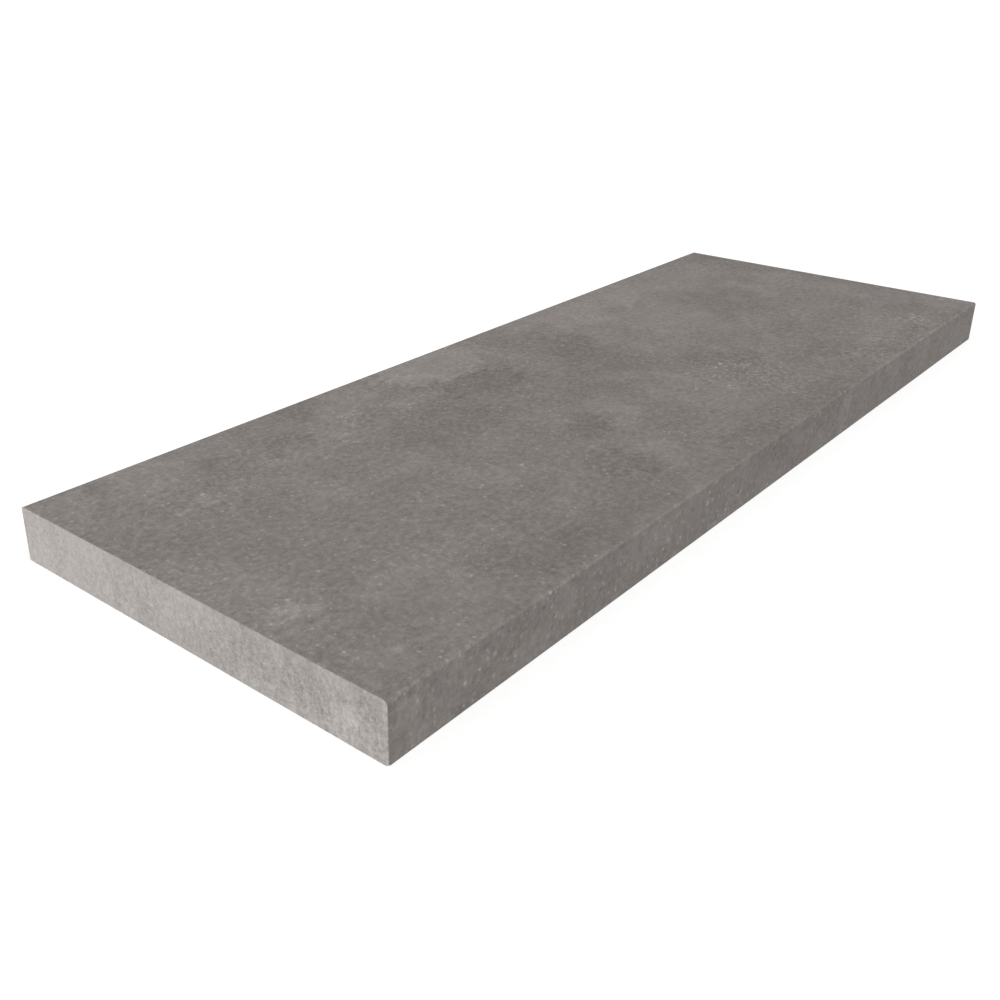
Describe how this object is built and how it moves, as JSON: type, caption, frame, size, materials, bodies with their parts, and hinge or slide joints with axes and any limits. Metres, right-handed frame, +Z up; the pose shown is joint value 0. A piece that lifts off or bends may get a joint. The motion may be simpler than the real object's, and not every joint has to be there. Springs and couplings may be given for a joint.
{
  "type": "stair nosing tile",
  "caption": "Straight-edged stair nosing tile: a flat, solid slab of matt concrete-look porcelain with a rounded top front edge, laid as the tread and edge of a step.",
  "frame": {"origin": "centre of the bed, the flat underside that lies in the mortar", "axes": "+X along the step, -Y out of the front face of the nose, +Y out of the back edge, +Z up out of the walked face"},
  "size_m": [0.9, 0.33, 0.04],
  "materials": {
    "porcelain": "matt"
  },
  "bodies": {
    "root": {"nosing_tile": "porcelain"}
  },
  "joints": []
}
